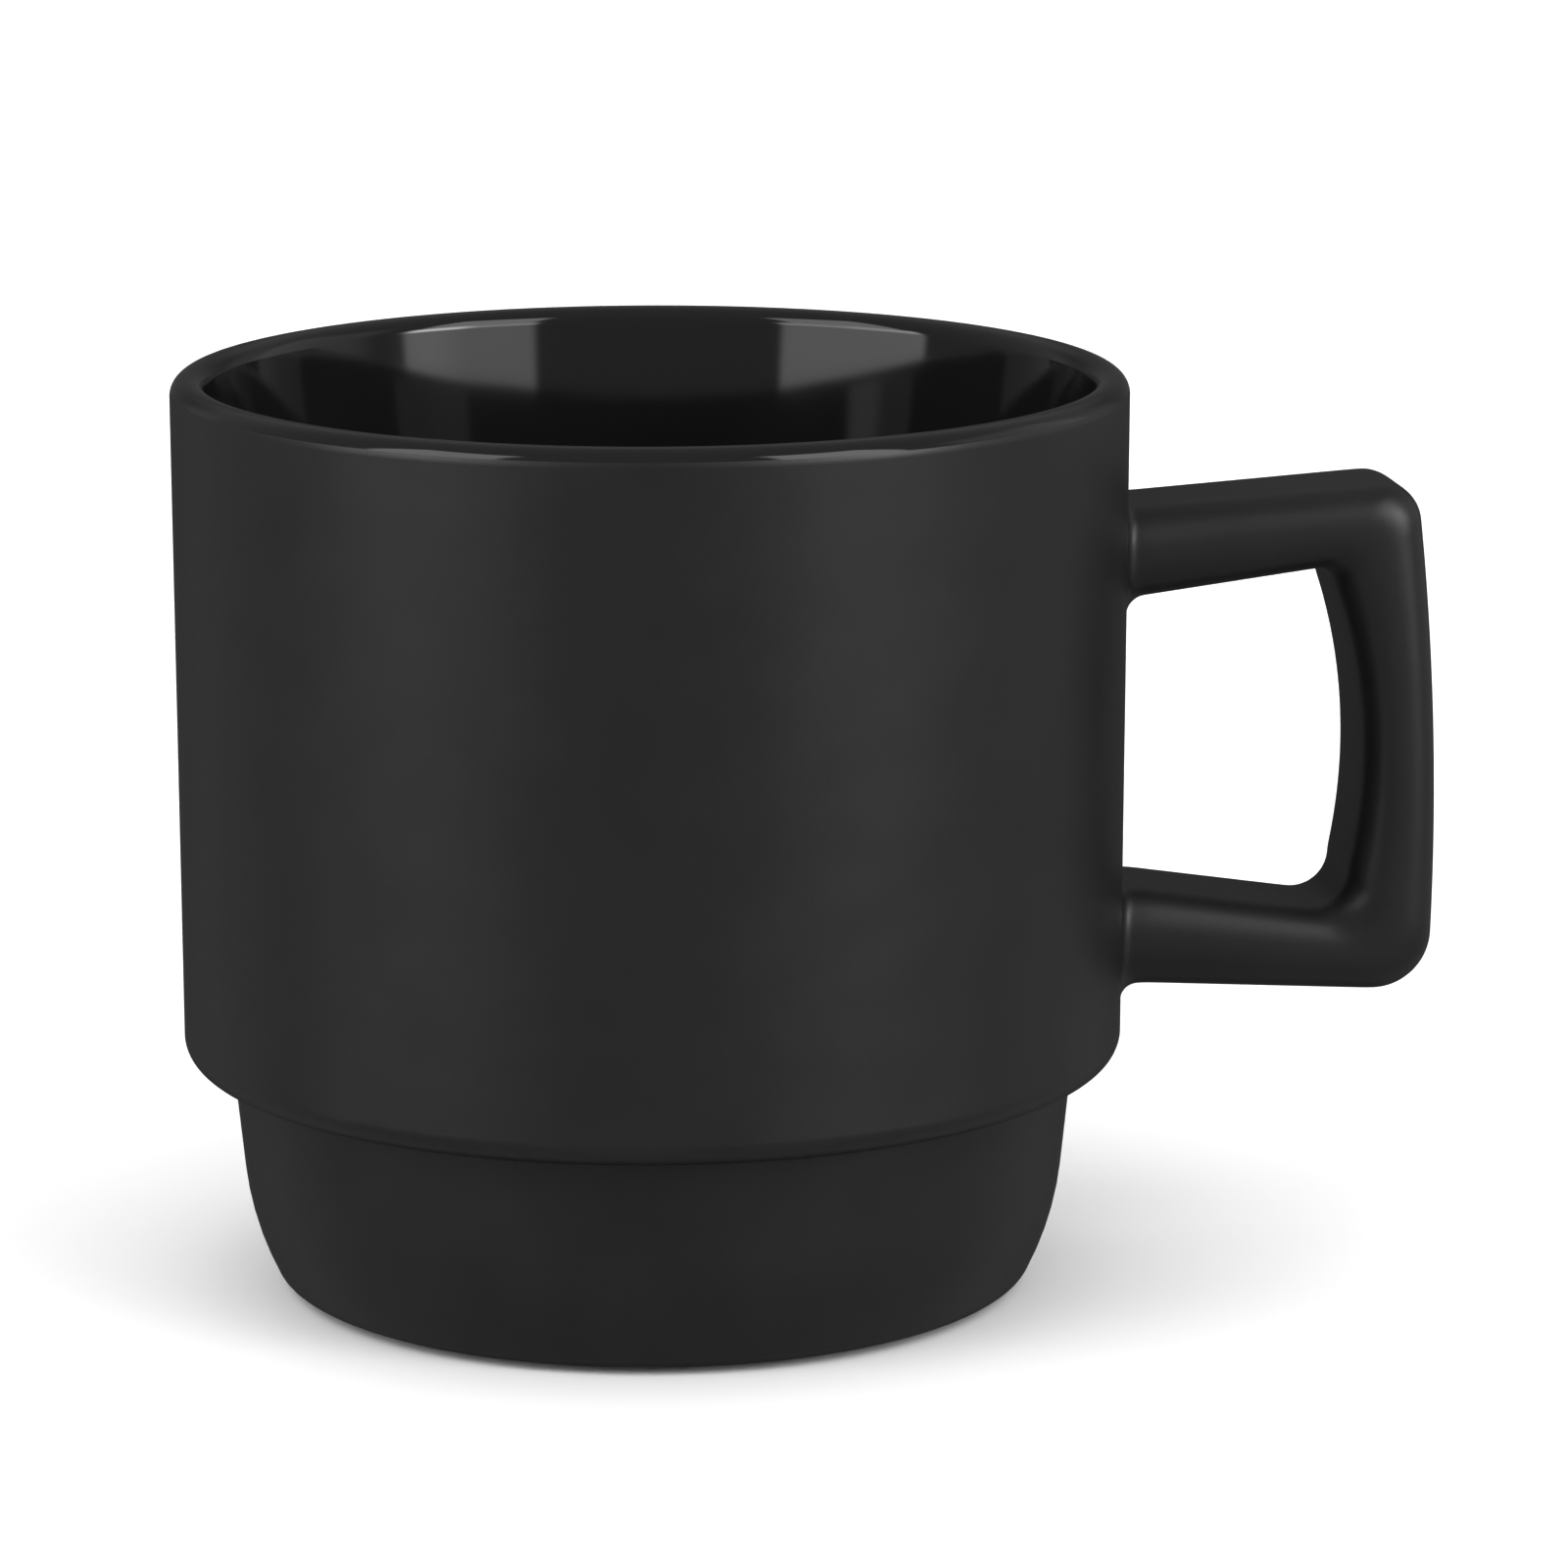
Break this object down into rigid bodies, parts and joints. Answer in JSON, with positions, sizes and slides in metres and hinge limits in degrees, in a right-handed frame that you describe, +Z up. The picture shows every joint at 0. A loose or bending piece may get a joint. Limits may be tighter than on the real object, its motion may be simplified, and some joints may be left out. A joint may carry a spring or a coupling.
{
  "type": "mug",
  "caption": "Stackable stoneware mug with a stepped spigot base, a square loop handle, satin black glaze outside and gloss black glaze inside and over the lip.",
  "frame": {"origin": "centre of the foot ring, on the surface that the mug stands on", "axes": "+Z up along the bowl's axis, +X towards the handle, the handle's loop in the XZ plane"},
  "size_m": [0.1202, 0.09, 0.0873],
  "materials": {
    "clay": "unglazed fired stoneware, matte and slightly gritty, seen only on the foot ring",
    "slip": "fired joining slip, matte, under the glaze",
    "gloss_glaze": "gloss black glaze, smooth and reflective",
    "satin_glaze": "satin-matte black glaze with very fine pitting"
  },
  "bodies": {
    "root": {"body": "clay", "handle": "clay", "upper_joint": "slip", "lower_joint": "slip", "liner_glaze": "gloss_glaze", "outer_glaze": "satin_glaze", "handle_glaze": "satin_glaze", "recess_glaze": "satin_glaze"}
  },
  "joints": []
}
